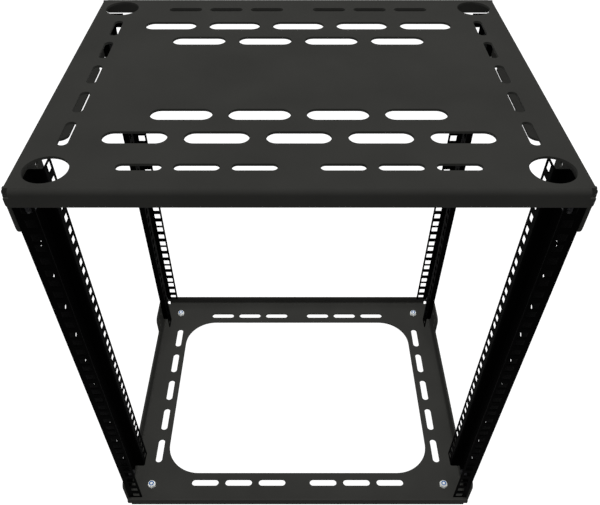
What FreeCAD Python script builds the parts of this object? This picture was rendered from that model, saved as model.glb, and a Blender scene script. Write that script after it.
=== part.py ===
import FreeCAD, Part
import math
import os
from FreeCAD import Vector

# Open-frame 12U rack for 19-inch equipment: two folded sheet trays, the top
# one with its flanges down and the base one with its flanges up, joined by
# four folded corner posts. X is the width, -Y the front, +Z up, in millimetres.
# The origin is midway between the four feet, on the surface they stand on.

os.makedirs("parts", exist_ok=True)

# Rail hole pattern of 19-inch equipment
rack_units = 12
unit_height = 44.45
unit_hole_heights = (6.35, 22.225, 38.1)
rail_hole_size = 9.5

# Corner posts: rail flange, web, step and lip, folded from one sheet
post_sheet = 1.5
post_bend_radius = 1.0
post_span_depth = 395.6
rail_opening = 450.0
rail_flange_width = 20.0
rail_hole_edge = 7.55
web_depth = 51.5
step_width = 15.25
lip_depth = 19.7
lip_hole_setback = 12.7
web_hole_diameter = 6.5

# Trays
tray_sheet = 2.5
tray_bend_radius = 2.5
flange_height = 16.8
side_flange_height = 21.3
post_side_gap = 0.2
rail_face_gap = 2.0
corner_relief_width = 6.6
corner_relief_depth = 4.8
corner_relief_height = 7.5
flange_end_inset = 1.7
flange_end_gap = 1.8
flange_end_radius = 3.0

# Ears: the tabs on the trays' side flanges that hold the posts' webs
ear_length = 90.0
ear_rise = 35.0
ear_corner_radius = 9.0
ear_root_radius = 3.0
ear_hole_diameter = 6.5
spare_hole_steps = (31.5, 47.0)
spare_hole_height = 9.5

# Hand holds: the deeper middles of the top tray's side flanges, folded inwards
handle_length = 158.0
handle_depth = 31.0
handle_corner_radius = 10.0

# Narrow slots along the four edges of both trays, measured from those edges
edge_slot_length = 40.0
edge_slot_width = 10.0
end_row_inset = 34.8
end_row_first = 38.2
end_row_pitch = 50.0
end_row_slots_each_side = 3
side_column_inset = 34.3
side_column_end = 88.3
side_column_slots = 5

# Wide slots in the top tray, two rows in front of its middle and two behind
wide_slot_length = 60.0
wide_slot_width = 20.0
wide_slot_pitch = 75.0
inner_row_setback = 80.4
inner_row_slots = 4
outer_row_setback = 120.8
outer_row_slots = 5

# Rim around the opening of the base tray
base_rim_side = 47.7
base_rim_end = 50.3
opening_corner_radius = 50.0

# Feet, and the round holes of the top tray that take the feet of another rack
foot_inset_x = 30.5
foot_inset_y = 30.9
stacking_hole_diameter = 40.0
foot_height = 15.0
foot_top_diameter = 36.0
foot_ground_diameter = 32.0
foot_edge_radius = 1.5
foot_recess_diameter = 17.0
foot_recess_depth = 8.0
washer_diameter = 14.0
washer_thickness = 1.5

# M6 foot screws and their lock nuts
foot_screw_diameter = 6.0
foot_screw_clearance = 0.6
foot_screw_head_diameter = 12.0
foot_screw_head_height = 3.6
foot_screw_socket = 4.0
foot_screw_socket_depth = 2.4
screw_tip_length = 1.0
screw_tip_inset = 0.9
lock_nut_flats = 10.0
lock_nut_hex_height = 4.4
lock_nut_height = 6.0
lock_nut_collar_diameter = 9.2
insert_diameter = 8.2
insert_height = 2.0
thread_gap = 0.1

# M6 post screws and their flanged nuts
post_screw_diameter = 6.0
post_screw_head_diameter = 10.5
post_screw_head_height = 3.3
post_screw_socket = 4.0
post_screw_socket_depth = 2.0
post_screw_tip_projection = 1.5
post_nut_flats = 10.0
post_nut_height = 6.0
post_nut_flange_diameter = 14.2
post_nut_flange_height = 1.5

# Places that follow from the sizes above
post_length = rack_units * unit_height
post_span_width = rail_opening + 2 * rail_flange_width
lip_span = post_span_width - 2 * step_width
rail_hole_x = rail_opening / 2 + rail_hole_edge
tray_width = post_span_width + 2 * (post_side_gap + tray_sheet)
tray_depth = post_span_depth + 2 * (rail_face_gap + tray_sheet)
post_bottom_z = foot_height + flange_height
post_top_z = post_bottom_z + post_length
top_z = post_top_z + flange_height
bend_outer_radius = tray_bend_radius + tray_sheet
side_flange_end = tray_depth / 2 - tray_sheet - flange_end_gap
end_flange_end = tray_width / 2 - flange_end_inset
web_hole_y = post_span_depth / 2 - web_depth / 2
foot_x = tray_width / 2 - foot_inset_x
foot_y = tray_depth / 2 - foot_inset_y
bolt_height = unit_hole_heights[1]


def rounded_strip(corners, sheet, inner_radius, place):
    """Face of a sheet that is bent square at each inner corner of its centre line.

    corners are the (a, b) corners of the centre line, and place turns an
    (a, b) pair into a point in space.
    """
    bend = inner_radius + sheet / 2
    sides = {1: [], -1: []}

    def point(origin, *steps):
        a = origin[0] + sum(step[0] * length for step, length in steps)
        b = origin[1] + sum(step[1] * length for step, length in steps)
        return (a, b)

    def direction(start, end):
        length = math.dist(start, end)
        return ((end[0] - start[0]) / length, (end[1] - start[1]) / length)

    ways = [direction(p, q) for p, q in zip(corners, corners[1:])]
    for hand, edges in sides.items():
        last = None
        for number, way in enumerate(ways):
            side = (-way[1] * hand, way[0] * hand)
            trim_start = bend if number > 0 else 0
            trim_end = bend if number < len(ways) - 1 else 0
            start = point(corners[number], (way, trim_start), (side, sheet / 2))
            end = point(corners[number + 1], (way, -trim_end), (side, sheet / 2))
            if last is not None:
                before = ways[number - 1]
                turn = before[0] * way[1] - before[1] * way[0]
                centre = point(corners[number], (before, -bend), (way, bend))
                radius = bend - hand * turn * sheet / 2
                outward = direction(centre, corners[number])
                edges.append((last, point(centre, (outward, radius)), start))
            edges.append((start, end))
            last = end

    outline = list(sides[1])
    outline.append((sides[1][-1][-1], sides[-1][-1][-1]))
    outline += [tuple(reversed(item)) for item in reversed(sides[-1])]
    outline.append((sides[-1][0][0], sides[1][0][0]))
    curves = []
    for item in outline:
        places = [place(a, b) for a, b in item]
        curve = Part.Arc(*places) if len(places) == 3 else Part.LineSegment(*places)
        curves.append(curve.toShape())
    return Part.Face(Part.Wire(curves))


def block(x0, x1, y0, y1, z0, z1):
    """Box between two corners."""
    return Part.makeBox(x1 - x0, y1 - y0, z1 - z0, Vector(x0, y0, z0))


def slot(length, width, x, y, along_y):
    """Round-ended cutter through a tray's floor, centred on x and y."""
    reach = (length - width) / 2
    step = Vector(0, reach, 0) if along_y else Vector(reach, 0, 0)
    middle = Vector(x, y, -tray_sheet)
    height = 3 * tray_sheet
    ends = [Part.makeCylinder(width / 2, height, middle + way * step) for way in (1, -1)]
    if along_y:
        body = block(x - width / 2, x + width / 2, y - reach, y + reach,
                     middle.z, middle.z + height)
    else:
        body = block(x - reach, x + reach, y - width / 2, y + width / 2,
                     middle.z, middle.z + height)
    return body.fuse(ends).removeSplitter()


def four_ways(shape):
    """A shape of the +X +Y corner with its mirror images in the other three."""
    pair = [shape, shape.mirror(Vector(0, 0, 0), Vector(1, 0, 0))]
    return pair + [item.mirror(Vector(0, 0, 0), Vector(0, 1, 0)) for item in pair]


def to_corner(shape, x_sign, y_sign):
    """A shape of the +X +Y corner moved to another corner by mirroring."""
    if x_sign < 0:
        shape = shape.mirror(Vector(0, 0, 0), Vector(1, 0, 0))
    if y_sign < 0:
        shape = shape.mirror(Vector(0, 0, 0), Vector(0, 1, 0))
    return shape


def hexagon(flats, height, base, axis):
    """Hexagonal prism that stands on base, along axis."""
    radius = flats / math.sqrt(3)
    corners = [Vector(radius * math.cos(math.radians(angle)),
                      radius * math.sin(math.radians(angle)), 0)
               for angle in range(30, 391, 60)]
    prism = Part.Face(Part.makePolygon(corners)).extrude(Vector(0, 0, height))
    prism.Placement = FreeCAD.Placement(base, FreeCAD.Rotation(Vector(0, 0, 1), axis))
    return prism


def turned(profile, base, axis):
    """Solid of revolution from (radius, height) pairs, closed along its axis or bore."""
    points = [Vector(radius, 0, height) for radius, height in profile]
    face = Part.Face(Part.makePolygon(points + [points[0]]))
    solid = face.revolve(Vector(0, 0, 0), Vector(0, 0, 1), 360)
    solid.Placement = FreeCAD.Placement(base, FreeCAD.Rotation(Vector(0, 0, 1), axis))
    return solid


def ear(x_outer):
    """One ear of the +X +Y corner, in the plane of the side flange."""
    inner = tray_depth / 2 - ear_length
    outer = side_flange_end
    low = bend_outer_radius
    root = side_flange_height
    high = flange_height + ear_rise
    bow = 1 - math.sqrt(0.5)

    def at(y, z):
        return Vector(x_outer - tray_sheet, y, z)

    r = ear_corner_radius
    q = ear_root_radius
    curves = [
        Part.LineSegment(at(inner - q, low), at(inner - q, root)),
        Part.Arc(at(inner - q, root), at(inner - q * bow, root + q * bow), at(inner, root + q)),
        Part.LineSegment(at(inner, root + q), at(inner, high - r)),
        Part.Arc(at(inner, high - r), at(inner + r * bow, high - r * bow), at(inner + r, high)),
        Part.LineSegment(at(inner + r, high), at(outer - r, high)),
        Part.Arc(at(outer - r, high), at(outer - r * bow, high - r * bow), at(outer, high - r)),
        Part.LineSegment(at(outer, high - r), at(outer, low)),
        Part.LineSegment(at(outer, low), at(inner - q, low)),
    ]
    plate = Part.Face(Part.Wire([curve.toShape() for curve in curves]))
    plate = plate.extrude(Vector(tray_sheet, 0, 0))
    bolt_z = flange_height + bolt_height
    holes = [(web_hole_y, bolt_z)]
    holes += [(web_hole_y - step, bolt_z) for step in spare_hole_steps]
    holes.append((web_hole_y - spare_hole_steps[-1], flange_height + spare_hole_height))
    drills = [Part.makeCylinder(ear_hole_diameter / 2, 3 * tray_sheet,
                                Vector(x_outer - 2 * tray_sheet, y, z), Vector(1, 0, 0))
              for y, z in holes]
    return plate, drills


def folded_tray():
    """Tray blank with its underside at zero and its flanges up, with ears and edge slots."""
    half_x = tray_width / 2
    half_y = tray_depth / 2
    flat_x = half_x - bend_outer_radius
    flat_y = half_y - bend_outer_radius
    middle = tray_sheet / 2
    floor = block(-flat_x, flat_x, -flat_y, flat_y, 0, tray_sheet)
    end_path = [(flat_y - tray_sheet, middle), (half_y - middle, middle),
                (half_y - middle, flange_height)]
    side_path = [(flat_x - tray_sheet, middle), (half_x - middle, middle),
                 (half_x - middle, side_flange_height)]
    rear = rounded_strip(end_path, tray_sheet, tray_bend_radius,
                         lambda a, b: Vector(-end_flange_end, a, b))
    rear = rear.extrude(Vector(2 * end_flange_end, 0, 0))
    tips = [edge for edge in rear.Edges
            if all(abs(v.Z - flange_height) < 0.01 for v in edge.Vertexes)
            and abs(edge.Vertexes[0].Y - edge.Vertexes[-1].Y) > middle]
    rear = rear.makeFillet(flange_end_radius, tips)
    right = rounded_strip(side_path, tray_sheet, tray_bend_radius,
                          lambda a, b: Vector(a, -side_flange_end, b))
    right = right.extrude(Vector(0, 2 * side_flange_end, 0))
    plate, drills = ear(half_x)
    pieces = [rear, rear.mirror(Vector(0, 0, 0), Vector(0, 1, 0)),
              right, right.mirror(Vector(0, 0, 0), Vector(1, 0, 0))]
    pieces += four_ways(plate)

    relief = block(half_x - corner_relief_width, half_x + tray_sheet,
                   half_y - corner_relief_depth, half_y + tray_sheet,
                   -tray_sheet, corner_relief_height)
    cutters = four_ways(relief)
    for drill in drills:
        cutters += four_ways(drill)
    for number in range(end_row_slots_each_side):
        x = end_row_first + number * end_row_pitch
        cutters += four_ways(slot(edge_slot_length, edge_slot_width, x, half_y - end_row_inset, False))
    column_reach = half_y - side_column_end
    for number in range(side_column_slots):
        y = (2 * number / (side_column_slots - 1) - 1) * column_reach
        for x in (half_x - side_column_inset, side_column_inset - half_x):
            cutters.append(slot(edge_slot_length, edge_slot_width, x, y, True))
    return floor.fuse(pieces).removeSplitter().cut(cutters)


def base_tray():
    """Lower tray, flanges up, with its large opening and the foot screw holes."""
    opening_x = tray_width / 2 - base_rim_side
    opening_y = tray_depth / 2 - base_rim_end
    window = block(-opening_x, opening_x, -opening_y, opening_y, -tray_sheet, 2 * tray_sheet)
    uprights = [edge for edge in window.Edges
                if abs(edge.Vertexes[0].Z - edge.Vertexes[-1].Z) > tray_sheet]
    window = window.makeFillet(opening_corner_radius, uprights)
    drill = Part.makeCylinder((foot_screw_diameter + foot_screw_clearance) / 2, 3 * tray_sheet,
                              Vector(foot_x, foot_y, -tray_sheet))
    tray = folded_tray().cut([window] + four_ways(drill))
    tray.translate(Vector(0, 0, foot_height))
    return tray


def wide_slot_rows():
    """Cutters for the four rows of wide slots in the top tray."""
    cutters = []
    for setback, count in ((inner_row_setback, inner_row_slots), (outer_row_setback, outer_row_slots)):
        for number in range(count):
            x = (number - (count - 1) / 2) * wide_slot_pitch
            for y in (setback, -setback):
                cutters.append(slot(wide_slot_length, wide_slot_width, x, y, False))
    return cutters


def hand_hold():
    """Hand hold of the +X side: flange plate and lip, with rounded roots and corners."""
    middle = tray_sheet / 2
    half_x = tray_width / 2
    half_length = handle_length / 2
    lip_edge = lip_span / 2
    path = [(half_x - middle, bend_outer_radius), (half_x - middle, handle_depth - middle),
            (lip_edge, handle_depth - middle)]
    hold = rounded_strip(path, tray_sheet, tray_bend_radius,
                         lambda a, b: Vector(a, -half_length, b))
    hold = hold.extrude(Vector(0, handle_length, 0))
    corners = [edge for edge in hold.Edges
               if all(abs(v.X - lip_edge) < 0.01 for v in edge.Vertexes)
               and abs(edge.Vertexes[0].Z - edge.Vertexes[-1].Z) > middle]
    hold = hold.makeFillet(handle_corner_radius, corners)
    q = ear_root_radius
    root = block(half_x - tray_sheet, half_x, -half_length - q, half_length + q,
                 bend_outer_radius, side_flange_height + q)
    rounds = [Part.makeCylinder(q, 3 * tray_sheet,
                                Vector(half_x - 2 * tray_sheet, way * (half_length + q),
                                       side_flange_height + q), Vector(1, 0, 0))
              for way in (1, -1)]
    return hold.fuse(root.cut(rounds)).removeSplitter()


def top_tray():
    """Upper tray, flanges down, with hand holds, wide slots and the round stacking holes."""
    stacking = Part.makeCylinder(stacking_hole_diameter / 2, 3 * tray_sheet,
                                 Vector(foot_x, foot_y, -tray_sheet))
    hold = hand_hold()
    tray = folded_tray().fuse([hold, hold.mirror(Vector(0, 0, 0), Vector(1, 0, 0))])
    tray = tray.removeSplitter().cut(wide_slot_rows() + four_ways(stacking))
    tray = tray.mirror(Vector(0, 0, 0), Vector(0, 0, 1))
    tray.translate(Vector(0, 0, top_z))
    return tray


def corner_post():
    """Post of the +X +Y corner: a folded section with three columns of holes."""
    middle = post_sheet / 2
    rail_y = post_span_depth / 2 - middle
    web_x = post_span_width / 2 - middle
    step_y = post_span_depth / 2 - web_depth + middle
    lip_x = lip_span / 2 + middle
    lip_end = post_span_depth / 2 - web_depth - lip_depth
    path = [(rail_opening / 2, rail_y), (web_x, rail_y), (web_x, step_y),
            (lip_x, step_y), (lip_x, lip_end)]
    section = rounded_strip(path, post_sheet, post_bend_radius,
                            lambda a, b: Vector(a, b, post_bottom_z))
    post = section.extrude(Vector(0, 0, post_length))

    half_hole = rail_hole_size / 2
    lip_hole_y = post_span_depth / 2 - web_depth - lip_hole_setback
    cutters = []
    for unit in range(rack_units):
        base = post_bottom_z + unit * unit_height
        for height in unit_hole_heights:
            z = base + height
            cutters.append(block(rail_hole_x - half_hole, rail_hole_x + half_hole,
                                 rail_y - post_sheet, rail_y + post_sheet,
                                 z - half_hole, z + half_hole))
            cutters.append(block(lip_x - post_sheet, lip_x + post_sheet,
                                 lip_hole_y - half_hole, lip_hole_y + half_hole,
                                 z - half_hole, z + half_hole))
        cutters.append(Part.makeCylinder(web_hole_diameter / 2, 2 * post_sheet,
                                         Vector(web_x - post_sheet, web_hole_y, base + bolt_height),
                                         Vector(1, 0, 0)))
    return post.cut(cutters)


def foot():
    """Rubber foot of the +X +Y corner, with a recess for its screw head."""
    top = foot_top_diameter / 2
    ground = foot_ground_diameter / 2
    recess = foot_recess_diameter / 2
    bore = (foot_screw_diameter + foot_screw_clearance) / 2
    body = turned([(bore, foot_recess_depth), (recess, foot_recess_depth), (recess, 0),
                   (ground, 0), (top, foot_height), (bore, foot_height)],
                  Vector(foot_x, foot_y, 0), Vector(0, 0, 1))
    rims = [edge for edge in body.Edges
            if isinstance(edge.Curve, Part.Circle) and edge.Curve.Radius >= ground]
    return body.makeFillet(foot_edge_radius, rims)


def foot_washer():
    """Steel washer in the recess of the +X +Y foot."""
    bore = (foot_screw_diameter + foot_screw_clearance) / 2
    low = foot_recess_depth - washer_thickness
    return turned([(bore, low), (washer_diameter / 2, low),
                   (washer_diameter / 2, foot_recess_depth), (bore, foot_recess_depth)],
                  Vector(foot_x, foot_y, 0), Vector(0, 0, 1))


def foot_screw():
    """Screw that comes up through the +X +Y foot, with a chamfered end in the lock nut."""
    shank = foot_screw_diameter / 2
    head = foot_screw_head_diameter / 2
    seat = foot_recess_depth - washer_thickness
    end = foot_height + tray_sheet + lock_nut_height
    edge = foot_screw_head_height / 3
    screw = turned([(0, seat - foot_screw_head_height), (head - edge, seat - foot_screw_head_height),
                    (head, seat - foot_screw_head_height + edge), (head, seat), (shank, seat),
                    (shank, end - screw_tip_length), (shank - screw_tip_inset, end), (0, end)],
                   Vector(foot_x, foot_y, 0), Vector(0, 0, 1))
    socket = hexagon(foot_screw_socket, foot_screw_socket_depth,
                     Vector(foot_x, foot_y, seat - foot_screw_head_height),
                     Vector(0, 0, 1))
    return screw.cut(socket)


def lock_nut():
    """Hexagon nut with a round collar that holds the nylon insert."""
    base = Vector(foot_x, foot_y, foot_height + tray_sheet)
    up = Vector(0, 0, 1)
    bore = foot_screw_diameter / 2 + thread_gap
    flats = lock_nut_flats / 2
    corners = lock_nut_flats / math.sqrt(3)
    bevel = corners - flats
    hex_body = hexagon(lock_nut_flats, lock_nut_hex_height, base, up)
    dome = turned([(0, 0), (flats + bevel / 2, 0), (corners, bevel / 2),
                   (corners, lock_nut_hex_height - bevel), (flats, lock_nut_hex_height),
                   (0, lock_nut_hex_height)], base, up)
    collar = Part.makeCylinder(lock_nut_collar_diameter / 2, lock_nut_height, base)
    seat = base + Vector(0, 0, lock_nut_height - insert_height)
    hollow = [Part.makeCylinder(bore, lock_nut_height, base),
              Part.makeCylinder(insert_diameter / 2, insert_height, seat)]
    return hex_body.common(dome).fuse(collar).removeSplitter().cut(hollow)


def nut_insert():
    """Nylon ring in the collar of the lock nut, closed in over the screw's chamfered end."""
    low = lock_nut_height - insert_height
    bore = foot_screw_diameter / 2 + thread_gap
    tip = lock_nut_height - screw_tip_length
    return turned([(bore, low), (insert_diameter / 2, low), (insert_diameter / 2, lock_nut_height),
                   (bore - screw_tip_inset, lock_nut_height), (bore, tip)],
                  Vector(foot_x, foot_y, foot_height + tray_sheet),
                  Vector(0, 0, 1))


def post_screw(z):
    """Button-head screw of the +X +Y corner, from the ear's outer face through the web."""
    radius = post_screw_head_diameter / 2
    shank = post_screw_diameter / 2
    face = tray_width / 2
    grip = tray_sheet + post_side_gap + post_sheet
    end = grip + post_nut_height + post_screw_tip_projection
    top = post_screw_socket / math.sqrt(3) + shank / 6
    crown = [(0, -post_screw_head_height)]
    crown += [(top + (radius - top) * math.cos(math.radians(angle)),
               -post_screw_head_height * math.sin(math.radians(angle)))
              for angle in (90, 70, 50, 30, 12, 0)]
    screw = turned(crown + [(shank, 0), (shank, end - screw_tip_length),
                            (shank - screw_tip_inset, end), (0, end)],
                   Vector(face, web_hole_y, z), Vector(-1, 0, 0))
    socket = hexagon(post_screw_socket, post_screw_socket_depth,
                     Vector(face + post_screw_head_height, web_hole_y, z), Vector(-1, 0, 0))
    return screw.cut(socket)


def post_nut(z):
    """Flanged hexagon nut on the inside of the +X +Y web."""
    base = Vector(post_span_width / 2 - post_sheet, web_hole_y, z)
    inward = Vector(-1, 0, 0)
    flats = post_nut_flats / 2
    corners = post_nut_flats / math.sqrt(3)
    flange = post_nut_flange_diameter / 2
    bore = post_screw_diameter / 2 + thread_gap
    bevel = corners - flats
    hex_body = hexagon(post_nut_flats, post_nut_height, base, inward)
    dome = turned([(0, 0), (corners, 0), (corners, post_nut_height - bevel),
                   (flats, post_nut_height), (0, post_nut_height)], base, inward)
    skirt = turned([(0, 0), (flange, 0), (flange, post_nut_flange_height / 2),
                    (flats, 2 * post_nut_flange_height), (0, 2 * post_nut_flange_height)],
                   base, inward)
    hole = Part.makeCylinder(bore, 3 * post_nut_height, base - inward * post_nut_height, inward)
    return hex_body.common(dome).fuse(skirt).removeSplitter().cut(hole)


nodes = {"top_tray": top_tray(), "base_tray": base_tray()}
post = corner_post()
foot_set = {"foot": foot(), "foot_washer": foot_washer(), "foot_screw": foot_screw(),
            "lock_nut": lock_nut(), "nut_insert": nut_insert()}
levels = {"base": post_bottom_z + bolt_height, "top": post_top_z - bolt_height}
for end, y_sign in (("front", -1), ("rear", 1)):
    for side, x_sign in (("left", -1), ("right", 1)):
        corner = f"{end}_{side}"
        nodes[f"{corner}_post"] = to_corner(post, x_sign, y_sign)
        for name, shape in foot_set.items():
            nodes[f"{corner}_{name}"] = to_corner(shape, x_sign, y_sign)
        for level, z in levels.items():
            nodes[f"{level}_{corner}_post_screw"] = to_corner(post_screw(z), x_sign, y_sign)
            nodes[f"{level}_{corner}_post_nut"] = to_corner(post_nut(z), x_sign, y_sign)

for name, shape in nodes.items():
    shape.exportStep(f"parts/{name}.step")
    solids = len(shape.Solids)
    print(f"{name}: {solids} solid, volume {shape.Volume:.0f}, valid {shape.isValid()}")
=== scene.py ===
"""Surfaces, fasteners, feet and studio of an open-frame 12U rack for 19-inch equipment.

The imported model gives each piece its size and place. Here the folded sheets get the soft,
coated edges of the real ones, the fasteners and feet are modelled in full, and every
surface gets its finish. Lengths are in millimetres unless a line says metres.
"""

import math

import bpy
from bpy.props import FloatProperty, FloatVectorProperty, IntProperty, PointerProperty
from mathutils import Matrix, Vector


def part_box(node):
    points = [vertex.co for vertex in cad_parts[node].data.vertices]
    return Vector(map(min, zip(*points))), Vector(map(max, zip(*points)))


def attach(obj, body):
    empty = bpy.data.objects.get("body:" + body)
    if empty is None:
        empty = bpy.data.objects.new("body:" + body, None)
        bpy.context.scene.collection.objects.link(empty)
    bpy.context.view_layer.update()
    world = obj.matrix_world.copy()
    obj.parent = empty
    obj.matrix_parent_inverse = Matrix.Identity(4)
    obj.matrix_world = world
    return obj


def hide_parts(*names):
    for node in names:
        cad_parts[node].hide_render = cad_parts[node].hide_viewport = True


bl_info = {
    "name": "Open Frame Rack",
    "version": (1, 0, 0),
    "blender": (4, 5, 0),
    "location": "View3D > Sidebar > Rack",
    "description": "Coats, fasteners, feet and studio for an open-frame equipment rack",
    "category": "Object",
}

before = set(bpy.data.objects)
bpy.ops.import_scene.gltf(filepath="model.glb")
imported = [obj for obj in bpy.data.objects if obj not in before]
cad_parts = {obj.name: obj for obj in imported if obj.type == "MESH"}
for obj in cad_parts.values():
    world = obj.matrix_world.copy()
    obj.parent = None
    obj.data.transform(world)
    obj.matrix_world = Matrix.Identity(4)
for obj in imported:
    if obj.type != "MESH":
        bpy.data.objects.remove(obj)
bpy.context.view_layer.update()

MM = 0.001
CORNERS = ("front_left", "front_right", "rear_left", "rear_right")
LEVELS = ("base", "top")

# Depth of a metric thread, as a share of its pitch
THREAD_DEPTH = 0.61
# Free space between a shank and the bore it passes through, and round a foot screw in its foot
THREAD_GAP = 0.1
FOOT_GAP = 0.3
# Distance that keeps two faces from lying in each other
SKIN = 0.02
# Points of a mesh that lie closer than this become one
WELD = 0.002
# Radius of the post screws' shanks, and the socket key that fits both kinds of screw
POST_SHANK = 3.0
SOCKET_FLATS = 4.0
# Nearly all values of a noise texture lie between these two
NOISE_LOW = 0.3
NOISE_HIGH = 0.7
# The photograph is cropped from a larger one, so its middle lies off the camera's axis
CROP_SHIFT = (0.00777, 0.0543)


def linear(hex_colour):
    """Linear colour, with alpha, of an sRGB hex value."""
    channels = []
    for start in (0, 2, 4):
        value = int(hex_colour[start:start + 2], 16) / 255
        channels.append(value / 12.92 if value <= 0.04045 else ((value + 0.055) / 1.055) ** 2.4)
    return (*channels, 1.0)


def colour_setting(name, description, hex_colour):
    """Colour that a user may change."""
    return FloatVectorProperty(name=name, description=description, subtype="COLOR", size=4,
                               min=0.0, max=1.0, default=linear(hex_colour))


def length_setting(name, description, millimetres):
    """Length that a user may change, kept in metres."""
    return FloatProperty(name=name, description=description, subtype="DISTANCE", unit="LENGTH",
                         min=0.0, default=millimetres * MM, precision=5)


class RackFinish(bpy.types.PropertyGroup):
    """Colours of the surfaces."""
    tray_coat: colour_setting("Tray coat", "Charcoal black powder coat of both trays", "333331")
    post_coat: colour_setting("Post coat", "Dead black powder coat of the posts", "020202")
    zinc: colour_setting("Zinc", "Bright zinc plate of the foot fasteners", "F6F6F0")
    zinc_shade: colour_setting("Zinc shade", "Bluer patches of the zinc plate", "E2E8EA")
    nylon: colour_setting("Nylon", "Blue ring of the lock nuts", "00589A")
    black_oxide: colour_setting("Black oxide", "Blackened steel of the post fasteners", "101012")
    rubber: colour_setting("Rubber", "Black rubber of the feet", "18181A")


class RackSizes(bpy.types.PropertyGroup):
    """Sizes of the details that the solids leave out."""
    tray_edge: length_setting("Tray edge", "Radius of the coated edges of the trays", 0.45)
    post_edge: length_setting("Post edge", "Radius of the coated edges of the posts", 0.3)
    fastener_edge: length_setting("Fastener edge", "Radius of the fasteners' edges", 0.18)
    foot_thread: length_setting("Foot screw pitch", "Thread pitch of the foot screws", 1.0)
    post_thread: length_setting("Post screw pitch", "Thread pitch of the post screws", 1.0)
    turned_steps: IntProperty(name="Turned steps", description="Facets round a turned surface",
                              default=64, min=12, max=256)


class RackStudio(bpy.types.PropertyGroup):
    """Camera and light."""
    camera_place: FloatVectorProperty(
        name="Camera place", description="Where the camera stands", subtype="XYZ", unit="LENGTH",
        default=(-3.35 * MM, -619.21 * MM, 894.59 * MM), precision=5)
    camera_pitch: FloatProperty(
        name="Camera pitch", description="How far the camera looks down from level",
        subtype="ANGLE", unit="ROTATION", default=math.radians(45.324))
    focal_length: FloatProperty(
        name="Focal length", description="Focal length on a 36 mm wide sensor",
        subtype="DISTANCE_CAMERA", unit="CAMERA", default=37.73)
    window: FloatProperty(name="Window", description="Strength of the window behind the rack",
                          default=0.5, min=0.0)
    front_fill: FloatProperty(name="Front fill", description="Strength of the fill in front",
                              default=0.68, min=0.0)
    side_fill: FloatProperty(name="Side fill", description="Strength of the fill at each side",
                             default=1.3, min=0.0)
    sky: FloatProperty(name="Sky", description="Strength of the light from all round",
                       default=0.22, min=0.0)
    floor: colour_setting("Floor", "Pale floor under the rack", "A0A0A0")
    floor_lift: FloatProperty(name="Floor lift", description="How white the camera sees the floor",
                              default=0.78, min=0.0)


def add(tree, kind, inputs=None, **settings):
    """Node of that kind, with its settings, and inputs that are values or sockets to link."""
    node = tree.nodes.new(kind)
    for name, value in settings.items():
        setattr(node, name, value)
    for name, value in (inputs or {}).items():
        if isinstance(value, bpy.types.NodeSocket):
            tree.links.new(value, node.inputs[name])
        else:
            node.inputs[name].default_value = value
    return node


def lumps(size):
    """Noise scale whose lumps are that many millimetres across."""
    return 1 / (size * MM)


def blank_material(name):
    """Material with an empty node tree."""
    material = bpy.data.materials.new(name)
    material.use_nodes = True
    material.node_tree.nodes.clear()
    return material, material.node_tree


def powder_coat(name, colour, roughness, specular, peel_size, peel_depth):
    """Polyester powder coat, sprayed and baked on steel sheet.

    The powder melts into a satin skin with a low orange peel, so highlights are broad and
    break up slightly, and the colour shifts a little where the coat is thicker.
    """
    material, tree = blank_material(name)
    where = add(tree, "ShaderNodeTexCoord").outputs["Object"]
    # Thickness of the coat drifts over a hand's width
    drift = add(tree, "ShaderNodeTexNoise",
                {"Vector": where, "Scale": lumps(70), "Detail": 2.0, "Roughness": 0.5})
    shade = add(tree, "ShaderNodeMapRange",
                {"Value": drift.outputs["Fac"], "From Min": NOISE_LOW, "From Max": NOISE_HIGH,
                 "To Min": 0.93, "To Max": 1.07})
    tinted = add(tree, "ShaderNodeVectorMath",
                 {0: tuple(colour[:3]), "Scale": shade.outputs["Result"]}, operation="SCALE")
    # Orange peel is 1 to 2 mm across on the real coat, at the edge of what the render shows
    peel = add(tree, "ShaderNodeTexNoise",
               {"Vector": where, "Scale": lumps(peel_size), "Detail": 2.0, "Roughness": 0.55})
    grain = add(tree, "ShaderNodeTexVoronoi",
                {"Vector": where, "Scale": lumps(peel_size / 3)}, feature="SMOOTH_F1")
    height = add(tree, "ShaderNodeMath",
                 {0: grain.outputs["Distance"], 1: 0.35, 2: peel.outputs["Fac"]},
                 operation="MULTIPLY_ADD")
    bump = add(tree, "ShaderNodeBump",
               {"Height": height.outputs["Value"], "Strength": 0.5, "Distance": peel_depth * MM})
    gloss = add(tree, "ShaderNodeMapRange",
                {"Value": peel.outputs["Fac"], "From Min": NOISE_LOW, "From Max": NOISE_HIGH,
                 "To Min": roughness - 0.05, "To Max": roughness + 0.05})
    surface = add(tree, "ShaderNodeBsdfPrincipled",
                  {"Base Color": tinted.outputs["Vector"], "Roughness": gloss.outputs["Result"],
                   "Normal": bump.outputs["Normal"], "Specular IOR Level": specular, "IOR": 1.5})
    add(tree, "ShaderNodeOutputMaterial", {"Surface": surface.outputs["BSDF"]})
    return material


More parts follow.
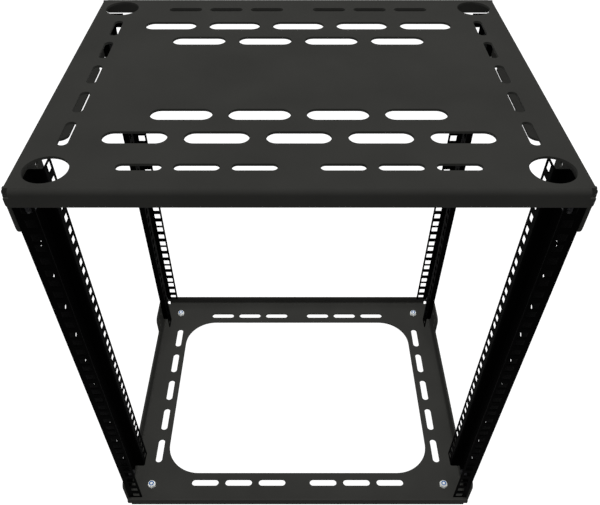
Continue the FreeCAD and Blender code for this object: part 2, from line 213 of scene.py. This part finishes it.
def zinc_plate(name, colour, shade_colour):
    """Barrel-plated zinc with a clear passivate over it.

    Tumbling leaves a satin skin with fine scuffs, pale rather than mirror-like, and the
    passivate adds faint bluer patches.
    """
    material, tree = blank_material(name)
    where = add(tree, "ShaderNodeTexCoord").outputs["Object"]
    patches = add(tree, "ShaderNodeTexNoise",
                  {"Vector": where, "Scale": lumps(3.5), "Detail": 3.0, "Roughness": 0.6})
    tint = add(tree, "ShaderNodeMix",
               {"Factor": patches.outputs["Fac"], "A": tuple(colour), "B": tuple(shade_colour)},
               data_type="RGBA")
    scuffs = add(tree, "ShaderNodeTexNoise",
                 {"Vector": where, "Scale": lumps(0.5), "Detail": 4.0, "Roughness": 0.7})
    gloss = add(tree, "ShaderNodeMapRange",
                {"Value": scuffs.outputs["Fac"], "From Min": NOISE_LOW, "From Max": NOISE_HIGH,
                 "To Min": 0.24, "To Max": 0.42})
    bump = add(tree, "ShaderNodeBump",
               {"Height": scuffs.outputs["Fac"], "Strength": 0.3, "Distance": 0.02 * MM})
    surface = add(tree, "ShaderNodeBsdfPrincipled",
                  {"Base Color": tint.outputs["Result"], "Roughness": gloss.outputs["Result"],
                   "Normal": bump.outputs["Normal"], "Metallic": 0.15})
    add(tree, "ShaderNodeOutputMaterial", {"Surface": surface.outputs["BSDF"]})
    return material


def blackened_steel(name, colour):
    """Alloy steel with a black oxide finish and a film of oil.

    The oxide is thin, so tool marks show through it, and the oil evens out the gloss.
    """
    material, tree = blank_material(name)
    where = add(tree, "ShaderNodeTexCoord").outputs["Object"]
    film = add(tree, "ShaderNodeTexNoise",
               {"Vector": where, "Scale": lumps(2.0), "Detail": 3.0, "Roughness": 0.6})
    shade = add(tree, "ShaderNodeMapRange",
                {"Value": film.outputs["Fac"], "From Min": NOISE_LOW, "From Max": NOISE_HIGH,
                 "To Min": 0.8, "To Max": 1.25})
    tinted = add(tree, "ShaderNodeVectorMath",
                 {0: tuple(colour[:3]), "Scale": shade.outputs["Result"]}, operation="SCALE")
    marks = add(tree, "ShaderNodeTexNoise",
                {"Vector": where, "Scale": lumps(0.4), "Detail": 4.0, "Roughness": 0.7})
    gloss = add(tree, "ShaderNodeMapRange",
                {"Value": marks.outputs["Fac"], "From Min": NOISE_LOW, "From Max": NOISE_HIGH,
                 "To Min": 0.38, "To Max": 0.54})
    bump = add(tree, "ShaderNodeBump",
               {"Height": marks.outputs["Fac"], "Strength": 0.3, "Distance": 0.02 * MM})
    surface = add(tree, "ShaderNodeBsdfPrincipled",
                  {"Base Color": tinted.outputs["Vector"], "Roughness": gloss.outputs["Result"],
                   "Normal": bump.outputs["Normal"], "Metallic": 0.4,
                   "Specular IOR Level": 0.15})
    add(tree, "ShaderNodeOutputMaterial", {"Surface": surface.outputs["BSDF"]})
    return material


def moulded_plastic(name, colour, roughness, grain_size, grain_depth, specular):
    """Polymer pressed in a mould: nylon for the rings, rubber for the feet.

    The mould's fine grain spreads the highlight, and the colour clouds slightly.
    """
    material, tree = blank_material(name)
    where = add(tree, "ShaderNodeTexCoord").outputs["Object"]
    cloud = add(tree, "ShaderNodeTexNoise",
                {"Vector": where, "Scale": lumps(6), "Detail": 2.0, "Roughness": 0.5})
    shade = add(tree, "ShaderNodeMapRange",
                {"Value": cloud.outputs["Fac"], "From Min": NOISE_LOW, "From Max": NOISE_HIGH,
                 "To Min": 0.88, "To Max": 1.12})
    tinted = add(tree, "ShaderNodeVectorMath",
                 {0: tuple(colour[:3]), "Scale": shade.outputs["Result"]}, operation="SCALE")
    grain = add(tree, "ShaderNodeTexNoise",
                {"Vector": where, "Scale": lumps(grain_size), "Detail": 3.0, "Roughness": 0.6})
    bump = add(tree, "ShaderNodeBump",
               {"Height": grain.outputs["Fac"], "Strength": 0.4, "Distance": grain_depth * MM})
    gloss = add(tree, "ShaderNodeMapRange",
                {"Value": grain.outputs["Fac"], "From Min": NOISE_LOW, "From Max": NOISE_HIGH,
                 "To Min": roughness - 0.06, "To Max": roughness + 0.06})
    surface = add(tree, "ShaderNodeBsdfPrincipled",
                  {"Base Color": tinted.outputs["Vector"], "Roughness": gloss.outputs["Result"],
                   "Normal": bump.outputs["Normal"], "Specular IOR Level": specular,
                   "IOR": 1.53})
    add(tree, "ShaderNodeOutputMaterial", {"Surface": surface.outputs["BSDF"]})
    return material


def work_on(piece):
    """Makes a piece the only selected and the active one."""
    bpy.ops.object.select_all(action="DESELECT")
    piece.select_set(True)
    bpy.context.view_layer.objects.active = piece


def edit_all(piece):
    """Opens a piece in edit mode with all of it selected."""
    work_on(piece)
    bpy.ops.object.mode_set(mode="EDIT")
    bpy.ops.mesh.select_all(action="SELECT")


def leave_edit():
    bpy.ops.object.mode_set(mode="OBJECT")


def apply_modifier(piece, kind, **settings):
    """Adds a modifier with its settings and applies it."""
    work_on(piece)
    bpy.ops.object.modifier_add(type=kind)
    modifier = piece.modifiers[-1]
    for name, value in settings.items():
        setattr(modifier, name, value)
    bpy.ops.object.modifier_apply(modifier=modifier.name)


def boolean(piece, tool, operation):
    """Joins a tool to a piece, cuts it out or keeps what both share, and removes the tool."""
    apply_modifier(piece, "BOOLEAN", object=tool, operation=operation, solver="EXACT")
    bpy.data.objects.remove(tool)


def drawn_profile(name, points, closed):
    """Line through (radius, height) points in millimetres, drawn by extruding one vertex."""
    bpy.ops.object.select_all(action="DESELECT")
    start = Vector((points[0][0], 0, points[0][1])) * MM
    bpy.ops.mesh.primitive_plane_add(size=MM, location=start)
    piece = bpy.context.active_object
    piece.name = name
    bpy.ops.object.transform_apply(location=True, rotation=True, scale=True)
    edit_all(piece)
    bpy.ops.mesh.merge(type="CENTER")
    for (r0, z0), (r1, z1) in zip(points, points[1:]):
        step = ((r1 - r0) * MM, 0, (z1 - z0) * MM)
        bpy.ops.mesh.extrude_region_move(TRANSFORM_OT_translate={"value": step})
    if closed:
        bpy.ops.mesh.select_all(action="DESELECT")
        leave_edit()
        piece.data.vertices[0].select = True
        piece.data.vertices[len(points) - 1].select = True
        bpy.ops.object.mode_set(mode="EDIT")
        bpy.ops.mesh.edge_face_add()
    leave_edit()
    return piece


def turned(name, points, closed=False):
    """Piece turned about the vertical axis from a profile in millimetres."""
    piece = drawn_profile(name, points, closed)
    edit_all(piece)
    bpy.ops.mesh.spin(steps=bpy.context.scene.rack_sizes.turned_steps, angle=math.tau,
                      center=(0, 0, 0), axis=(0, 0, 1))
    bpy.ops.mesh.select_all(action="SELECT")
    bpy.ops.mesh.remove_doubles(threshold=WELD * MM)
    bpy.ops.mesh.normals_make_consistent(inside=False)
    leave_edit()
    return piece


def hexagon(name, flats, low, high):
    """Hexagonal bar with two of its corners on the Y axis, between two heights in millimetres."""
    bpy.ops.object.select_all(action="DESELECT")
    bpy.ops.mesh.primitive_cylinder_add(vertices=6, radius=flats * MM / math.sqrt(3),
                                        depth=(high - low) * MM,
                                        location=(0, 0, (low + high) / 2 * MM))
    piece = bpy.context.active_object
    piece.name = name
    bpy.ops.object.transform_apply(location=True, rotation=True, scale=True)
    return piece


def threaded_screw(name, blank, core, crest, pitch, low, high, tip):
    """Screw from its turned head and a threaded shank between two heights, in millimetres.

    The thread is one tooth of the profile wound up past both ends, so that neighbouring
    turns share their roots, then cut to length by an envelope with a chamfered tip.
    """
    crest_start, crest_end, root_start = (share * pitch for share in (0.43, 0.55, 0.98))
    tooth = [(core, 0), (crest, crest_start), (crest, crest_end), (core, root_start),
             (core, pitch)]
    turns = math.ceil((high - low) / pitch) + 3
    start = low - 2 * pitch
    wound = drawn_profile(name + "_thread", [(r, z + start) for r, z in tooth], False)
    apply_modifier(wound, "SCREW", axis="Z", angle=math.tau, screw_offset=pitch * MM,
                   iterations=turns, steps=24, render_steps=24, use_merge_vertices=False)
    edit_all(wound)
    bpy.ops.mesh.remove_doubles(threshold=WELD * MM)
    bpy.ops.mesh.select_all(action="DESELECT")
    bpy.ops.mesh.select_non_manifold(extend=False, use_wire=False, use_boundary=True,
                                     use_multi_face=False, use_non_contiguous=False,
                                     use_verts=False)
    bpy.ops.mesh.fill_holes(sides=0)
    bpy.ops.mesh.select_all(action="SELECT")
    bpy.ops.mesh.normals_make_consistent(inside=False)
    leave_edit()
    clear = crest + 0.5
    tip_radius = core - 0.7
    envelope = turned(name + "_envelope", [
        (0, low), (clear, low), (clear, high - tip), (tip_radius, high), (0, high)])
    boolean(wound, envelope, "INTERSECT")
    boolean(blank, wound, "UNION")
    return blank


def soften(piece, radius, degrees):
    """Rounds the edges that turn more than that many degrees, radius in metres."""
    apply_modifier(piece, "BEVEL", width=radius, segments=2, limit_method="ANGLE",
                   angle_limit=math.radians(degrees), use_clamp_overlap=True)


def smooth(piece, degrees=35):
    """Shades a piece smoothly except across sharp edges."""
    work_on(piece)
    bpy.ops.object.shade_smooth_by_angle(angle=math.radians(degrees))


def copy_to(model, name, place, turn=(0, 0, 0)):
    """Copy of a modelled piece with its own mesh, turned and moved, with its object at the origin."""
    work_on(model)
    bpy.ops.object.duplicate()
    piece = bpy.context.active_object
    piece.name = name
    piece.rotation_euler = turn
    piece.location = place
    bpy.ops.object.transform_apply(location=True, rotation=True, scale=True)
    return piece


def hand_over(piece, node, material):
    """Puts a finished piece in the place of a node, with its finish."""
    piece.data.materials.clear()
    piece.data.materials.append(material)
    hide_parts(node)
    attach(piece, "root")


def base_centre(node):
    """Middle of the underside of a node, in metres."""
    low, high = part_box(node)
    return Vector(((low.x + high.x) / 2, (low.y + high.y) / 2, low.z))


def side_turn(node):
    """Turn that points a piece modelled upright, head down, from its side into the rack."""
    low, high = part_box(node)
    inward = -1 if low.x > 0 else 1
    return (0, inward * math.pi / 2, 0)


def outer_end(node):
    """Middle of the end of a sideways node that is farther from the rack's middle."""
    low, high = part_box(node)
    x = high.x if low.x > 0 else low.x
    return Vector((x, (low.y + high.y) / 2, (low.z + high.z) / 2))


def node_size(node):
    """Width, depth and height of a node in millimetres."""
    low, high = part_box(node)
    return (high - low) / MM


def foot_shank():
    """Radius of the foot screws' shanks, which is half that of their heads, in millimetres."""
    return node_size("front_left_foot_screw").x / 4


def put_upright(model, part, suffix, material):
    """Puts a copy of a model in the place of that part at each corner, and removes the model."""
    for corner in CORNERS:
        node = f"{corner}_{part}"
        piece = copy_to(model, f"{node}_{suffix}", base_centre(node))
        hand_over(piece, node, material)
    bpy.data.objects.remove(model)


def put_sideways(model, part, material):
    """Does the same at both ends of each post, with the model turned to point into the rack."""
    for level in LEVELS:
        for corner in CORNERS:
            node = f"{level}_{corner}_{part}"
            piece = copy_to(model, node + "_black", outer_end(node), side_turn(node))
            hand_over(piece, node, material)
    bpy.data.objects.remove(model)


def coated_sheet(node, radius):
    """Copy of a folded sheet with its cut edges rounded, as blasting and the coat leave them."""
    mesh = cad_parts[node].data.copy()
    piece = bpy.data.objects.new(node + "_coated", mesh)
    bpy.context.scene.collection.objects.link(piece)
    work_on(piece)
    bpy.ops.mesh.customdata_custom_splitnormals_clear()
    edit_all(piece)
    # The loose triangles are joined, and those that lie in one plane become one face
    weld = 0.005
    flat = math.radians(0.5)
    bpy.ops.mesh.remove_doubles(threshold=weld * MM)
    bpy.ops.mesh.dissolve_limited(angle_limit=flat)
    leave_edit()
    soften(piece, radius, degrees=50)
    smooth(piece)
    # Broad faces keep flat shading up to their rounded edges
    apply_modifier(piece, "WEIGHTED_NORMAL", keep_sharp=True)
    return piece


class RACK_OT_trays(bpy.types.Operator):
    """Give both trays their rounded edges and charcoal coat"""
    bl_idname = "rack.trays"
    bl_label = "Trays"

    def execute(self, context):
        finish = context.scene.rack_finish
        coat = powder_coat("satin charcoal powder coat", finish.tray_coat, roughness=0.65,
                           specular=0.006, peel_size=1.8, peel_depth=0.03)
        for node in ("top_tray", "base_tray"):
            piece = coated_sheet(node, context.scene.rack_sizes.tray_edge)
            hand_over(piece, node, coat)
        return {"FINISHED"}


class RACK_OT_posts(bpy.types.Operator):
    """Give the four posts their rounded edges and dead black coat"""
    bl_idname = "rack.posts"
    bl_label = "Posts"

    def execute(self, context):
        finish = context.scene.rack_finish
        coat = powder_coat("matt black powder coat", finish.post_coat, roughness=0.6,
                           specular=0.004, peel_size=1.5, peel_depth=0.03)
        for corner in CORNERS:
            node = corner + "_post"
            piece = coated_sheet(node, context.scene.rack_sizes.post_edge)
            hand_over(piece, node, coat)
        return {"FINISHED"}


class RACK_OT_lock_nuts(bpy.types.Operator):
    """Model the zinc lock nuts that stand on the base tray"""
    bl_idname = "rack.lock_nuts"
    bl_label = "Lock nuts"

    def execute(self, context):
        flats, across, height = node_size("front_left_lock_nut")
        ring = node_size("front_left_nut_insert")
        corner = across / 2
        bevel = (across - flats) / 2
        hex_top = 0.74 * height
        collar = 0.46 * flats
        collar_foot = 1.0
        nut = hexagon("lock_nut_model", flats, 0, hex_top)
        chamfers = turned("nut_chamfers", [
            (0, 0), (flats / 2 + 0.1, 0), (corner, 0.5 * bevel), (corner, hex_top - bevel),
            (flats / 2, hex_top), (0, hex_top)])
        boolean(nut, chamfers, "INTERSECT")
        # The collar rises over the hexagon, and its rim is rolled in over the nylon ring
        crimp = turned("nut_collar", [
            (0, collar_foot), (collar, collar_foot), (collar, height - 0.75),
            (collar - 0.12, height - 0.3), (collar - 0.32, height), (0, height)])
        boolean(nut, crimp, "UNION")
        seat = ring.x / 2
        seat_low = height - ring.z
        mouth = seat - 0.4
        bore = foot_shank() + THREAD_GAP
        lead_in = foot_shank() + 0.5
        hole = turned("nut_hole", [
            (0, -1), (lead_in, -1), (lead_in, 0), (bore, 0.4), (bore, seat_low), (seat, seat_low),
            (seat, height - 0.6), (mouth, height - 0.35), (mouth, height + 1), (0, height + 1)])
        boolean(nut, hole, "DIFFERENCE")
        soften(nut, context.scene.rack_sizes.fastener_edge, degrees=25)
        smooth(nut, 30)
        finish = context.scene.rack_finish
        zinc = zinc_plate("bright zinc plate", finish.zinc, finish.zinc_shade)
        put_upright(nut, "lock_nut", "plated", zinc)
        return {"FINISHED"}


class RACK_OT_nut_inserts(bpy.types.Operator):
    """Model the blue nylon rings of the lock nuts"""
    bl_idname = "rack.nut_inserts"
    bl_label = "Nylon rings"

    def execute(self, context):
        ring = node_size("front_left_nut_insert")
        top = ring.z - SKIN
        outer = ring.x / 2 - SKIN
        mouth = outer - 0.42
        shank = foot_shank()
        bore = shank + THREAD_GAP
        # The rim holds the ring's edge, and its middle turns in over the screw's chamfer
        profile = [(bore, 0), (outer, 0), (outer, ring.z - 0.62), (mouth, ring.z - 0.37),
                   (mouth, ring.z - 0.15), (mouth - 0.2, top), (shank - 0.8, top),
                   (shank - 0.98, ring.z - 0.16), (bore, ring.z - 1.3)]
        model = turned("nut_insert_model", profile, closed=True)
        smooth(model, 40)
        nylon = moulded_plastic("moulded blue nylon", context.scene.rack_finish.nylon,
                                roughness=0.42, grain_size=0.5, grain_depth=0.02, specular=0.2)
        put_upright(model, "nut_insert", "moulded", nylon)
        return {"FINISHED"}


class RACK_OT_foot_screws(bpy.types.Operator):
    """Model the threaded screws that hold the feet"""
    bl_idname = "rack.foot_screws"
    bl_label = "Foot screws"

    def execute(self, context):
        size = node_size("front_left_foot_screw")
        pitch = context.scene.rack_sizes.foot_thread / MM
        head = size.x / 2
        crest = foot_shank() - SKIN
        core = foot_shank() - THREAD_DEPTH * pitch
        head_height = 3.6
        thread_start = head_height + 0.5
        neck_end = head_height + 0.9
        rim = head_height / 3
        screw = turned("foot_screw_model", [
            (0, 0), (head - rim, 0), (head - 0.35 * rim, 0.3 * rim), (head, rim),
            (head, head_height), (crest, head_height), (crest, head_height + 0.6),
            (core - 0.1, neck_end), (0, neck_end)])
        soften(screw, context.scene.rack_sizes.fastener_edge / 2, degrees=40)
        socket_depth = 2.4
        socket = hexagon("foot_screw_socket", SOCKET_FLATS, -1, socket_depth)
        boolean(screw, socket, "DIFFERENCE")
        threaded_screw("foot_screw", screw, core, crest, pitch, thread_start, size.z, tip=1.6)
        smooth(screw, 32)
        zinc = bpy.data.materials["bright zinc plate"]
        put_upright(screw, "foot_screw", "plated", zinc)
        return {"FINISHED"}


class RACK_OT_foot_washers(bpy.types.Operator):
    """Model the punched washers in the feet"""
    bl_idname = "rack.foot_washers"
    bl_label = "Foot washers"

    def execute(self, context):
        size = node_size("front_left_foot_washer")
        outer = size.x / 2
        bore = foot_shank() + FOOT_GAP
        # Punching draws the top edge down and leaves the lower one sharp
        washer = turned("foot_washer_model", [
            (bore, 0), (outer - 0.1, 0), (outer, 0.1), (outer, size.z - 0.35),
            (outer - 0.12, size.z - 0.12), (outer - 0.35, size.z), (bore + 0.2, size.z),
            (bore, size.z - 0.2)], closed=True)
        smooth(washer, 40)
        zinc = bpy.data.materials["bright zinc plate"]
        put_upright(washer, "foot_washer", "plated", zinc)
        return {"FINISHED"}


class RACK_OT_feet(bpy.types.Operator):
    """Model the moulded rubber feet"""
    bl_idname = "rack.feet"
    bl_label = "Feet"

    def execute(self, context):
        size = node_size("front_left_foot")
        top = size.x / 2
        ground = top - 2.0
        recess = 8.5
        recess_depth = 8.0
        steps = 6
        quarter = [math.radians(90 * step / steps) for step in range(steps + 1)]
        bore = foot_shank() + FOOT_GAP
        edge = 1.5
        profile = [(bore, recess_depth), (recess - 0.4, recess_depth), (recess, recess_depth - 0.4),
                   (recess, 0.5), (recess + 0.5, 0)]
        profile += [(ground - edge + edge * math.sin(angle), edge - edge * math.cos(angle))
                    for angle in quarter]
        profile += [(top - edge + edge * math.cos(angle), size.z - edge + edge * math.sin(angle))
                    for angle in quarter]
        profile.append((bore, size.z))
        foot = turned("foot_model", profile, closed=True)
        smooth(foot, 40)
        rubber = moulded_plastic("moulded black rubber", context.scene.rack_finish.rubber,
                                 roughness=0.78, grain_size=0.9, grain_depth=0.06, specular=0.3)
        put_upright(foot, "foot", "moulded", rubber)
        return {"FINISHED"}


class RACK_OT_post_screws(bpy.types.Operator):
    """Model the button-head screws that hold the posts to the ears"""
    bl_idname = "rack.post_screws"
    bl_label = "Post screws"

    def execute(self, context):
        size = node_size("top_front_left_post_screw")
        pitch = context.scene.rack_sizes.post_thread / MM
        head = size.y / 2
        head_height = 3.3
        thread_start = head_height + 0.7
        neck_end = head_height + 1.1
        crest = POST_SHANK - SKIN
        core = POST_SHANK - THREAD_DEPTH * pitch
        # The button is flat out to this radius and then curves down to its rim
        flat_top = 2.85
        steps = 8
        crown = [(0, 0)]
        for step in range(steps + 1):
            angle = math.radians(90 * (1 - step / steps))
            crown.append((flat_top + (head - flat_top) * math.cos(angle),
                          head_height * (1 - math.sin(angle))))
        screw = turned("post_screw_model", crown + [
            (crest, head_height), (crest, head_height + 0.8), (core - 0.1, neck_end), (0, neck_end)])
        socket_depth = 2.0
        socket = hexagon("post_screw_socket", SOCKET_FLATS, -1, socket_depth)
        boolean(screw, socket, "DIFFERENCE")
        soften(screw, context.scene.rack_sizes.fastener_edge / 3, degrees=50)
        threaded_screw("post_screw", screw, core, crest, pitch, thread_start, size.x, tip=1.2)
        smooth(screw, 32)
        black = blackened_steel("oiled black oxide steel", context.scene.rack_finish.black_oxide)
        put_sideways(screw, "post_screw", black)
        return {"FINISHED"}


class RACK_OT_post_nuts(bpy.types.Operator):
    """Model the flanged nuts inside the posts"""
    bl_idname = "rack.post_nuts"
    bl_label = "Post nuts"

    def execute(self, context):
        size = node_size("top_front_left_post_nut")
        height = size.x
        flange = size.y / 2
        cone_top = 2.8
        flats = 10.0
        corner = flats / math.sqrt(3)
        bevel = corner - flats / 2
        nut = hexagon("post_nut_model", flats, 0.2, height)
        chamfers = turned("post_nut_chamfers", [
            (0, 0), (corner, 0), (corner, height - bevel), (flats / 2, height), (0, height)])
        boolean(nut, chamfers, "INTERSECT")
        skirt = turned("post_nut_skirt", [
            (0, 0), (flange - 0.1, 0), (flange, 0.2), (flange, 0.7), (flange - 0.3, 0.95),
            (flats / 2 + 0.1, cone_top), (0, cone_top)])
        boolean(nut, skirt, "UNION")
        bore = POST_SHANK + THREAD_GAP
        lead_in = 0.4
        hole = turned("post_nut_hole", [
            (0, -1), (bore, -1), (bore, height - lead_in), (bore + lead_in, height),
            (bore + lead_in, height + 1), (0, height + 1)])
        boolean(nut, hole, "DIFFERENCE")
        soften(nut, context.scene.rack_sizes.fastener_edge, degrees=25)
        smooth(nut, 30)
        black = bpy.data.materials["oiled black oxide steel"]
        put_sideways(nut, "post_nut", black)
        return {"FINISHED"}


def white_to_camera(tree):
    """Factor that is 1 for rays that show the background: camera, mirror and glass rays."""
    path = add(tree, "ShaderNodeLightPath")
    seen = add(tree, "ShaderNodeMath",
               {0: path.outputs["Is Camera Ray"], 1: path.outputs["Is Glossy Ray"]},
               operation="MAXIMUM")
    return add(tree, "ShaderNodeMath",
               {0: seen.outputs["Value"], 1: path.outputs["Is Transmission Ray"]},
               operation="MAXIMUM").outputs["Value"]


class RACK_OT_studio(bpy.types.Operator):
    """Set up the pale floor, soft light and camera"""
    bl_idname = "rack.studio"
    bl_label = "Studio"

    def execute(self, context):
        studio = context.scene.rack_studio
        self.floor(studio)
        self.sky(context.scene, studio)
        self.lamp("rear_window", studio.window, height=46, side=178, shadow=True)
        # Fill that casts no shadow lights the insides of the trays as evenly as the photograph
        self.lamp("front_fill", studio.front_fill, height=35, side=0, shadow=False)
        self.lamp("left_fill", studio.side_fill, height=50, side=-100, shadow=False)
        self.lamp("right_fill", studio.side_fill, height=50, side=100, shadow=False)
        self.camera(context.scene, studio)
        context.scene.view_settings.view_transform = "Standard"
        return {"FINISHED"}

    def floor(self, studio):
        """Painted board, matt and pale, that the camera sees as white apart from the shadow."""
        bpy.ops.object.select_all(action="DESELECT")
        bpy.ops.mesh.primitive_circle_add(vertices=96, radius=6.0, fill_type="NGON")
        floor = bpy.context.active_object
        floor.name = "studio_floor"
        material, tree = blank_material("matt pale studio board")
        paint = add(tree, "ShaderNodeBsdfDiffuse", {"Color": tuple(studio.floor)})
        lift = add(tree, "ShaderNodeMath", {0: white_to_camera(tree), 1: studio.floor_lift},
                   operation="MULTIPLY")
        glow = add(tree, "ShaderNodeEmission",
                   {"Color": linear("FFFFFF"), "Strength": lift.outputs["Value"]})
        both = add(tree, "ShaderNodeAddShader",
                   {0: paint.outputs["BSDF"], 1: glow.outputs["Emission"]})
        add(tree, "ShaderNodeOutputMaterial", {"Surface": both.outputs["Shader"]})
        floor.data.materials.append(material)

    def sky(self, scene, studio):
        """Even light from all round, which the camera and mirrors see as white."""
        world = bpy.data.worlds.new("studio sky")
        world.use_nodes = True
        tree = world.node_tree
        tree.nodes.clear()
        strength = add(tree, "ShaderNodeMapRange",
                       {"Value": white_to_camera(tree), "To Min": studio.sky, "To Max": 1.0})
        light = add(tree, "ShaderNodeBackground",
                    {"Color": linear("FFFFFF"), "Strength": strength.outputs["Result"]})
        add(tree, "ShaderNodeOutputWorld", {"Surface": light.outputs["Background"]})
        scene.world = world

    def lamp(self, name, strength, height, side, shadow):
        """Broad far lamp, so high above level and so far round from the front, in degrees."""
        softness = math.radians(25)
        bpy.ops.object.light_add(type="SUN", location=(0, 0, 2))
        lamp = bpy.context.active_object
        lamp.name = name
        lamp.data.energy = strength
        lamp.data.angle = softness
        lamp.data.use_shadow = shadow
        level = math.cos(math.radians(height))
        towards = Vector((level * math.sin(math.radians(side)),
                          -level * math.cos(math.radians(side)),
                          math.sin(math.radians(height))))
        lamp.rotation_euler = towards.to_track_quat("Z", "Y").to_euler()

    def camera(self, scene, studio):
        """Camera of the photograph, in front of the rack and above it."""
        bpy.ops.object.camera_add(location=studio.camera_place,
                                  rotation=(math.pi / 2 - studio.camera_pitch, 0, 0))
        camera = bpy.context.active_object
        camera.name = "photograph_camera"
        camera.data.sensor_width = 36.0
        camera.data.lens = studio.focal_length
        camera.data.shift_x, camera.data.shift_y = CROP_SHIFT
        scene.camera = camera


class RACK_PT_panel(bpy.types.Panel):
    """Sidebar panel that lists the steps, in order"""
    bl_idname = "RACK_PT_panel"
    bl_label = "Open Frame Rack"
    bl_space_type = "VIEW_3D"
    bl_region_type = "UI"
    bl_category = "Rack"

    def draw(self, context):
        for step in STEPS:
            self.layout.operator(step.bl_idname)
        for group in (context.scene.rack_finish, context.scene.rack_sizes,
                      context.scene.rack_studio):
            box = self.layout.box()
            for name in group.__annotations__:
                box.prop(group, name)


STEPS = (RACK_OT_trays, RACK_OT_posts, RACK_OT_lock_nuts, RACK_OT_nut_inserts,
         RACK_OT_foot_screws, RACK_OT_foot_washers, RACK_OT_feet, RACK_OT_post_screws,
         RACK_OT_post_nuts, RACK_OT_studio)
CLASSES = (RackFinish, RackSizes, RackStudio, *STEPS, RACK_PT_panel)


def register():
    for item in CLASSES:
        bpy.utils.register_class(item)
    bpy.types.Scene.rack_finish = PointerProperty(type=RackFinish)
    bpy.types.Scene.rack_sizes = PointerProperty(type=RackSizes)
    bpy.types.Scene.rack_studio = PointerProperty(type=RackStudio)


def unregister():
    for name in ("rack_finish", "rack_sizes", "rack_studio"):
        delattr(bpy.types.Scene, name)
    for item in reversed(CLASSES):
        bpy.utils.unregister_class(item)


def main():
    register()
    bpy.ops.rack.trays()
    bpy.ops.rack.posts()
    bpy.ops.rack.lock_nuts()
    bpy.ops.rack.nut_inserts()
    bpy.ops.rack.foot_screws()
    bpy.ops.rack.foot_washers()
    bpy.ops.rack.feet()
    bpy.ops.rack.post_screws()
    bpy.ops.rack.post_nuts()
    bpy.ops.rack.studio()


if __name__ == "__main__":
    main()
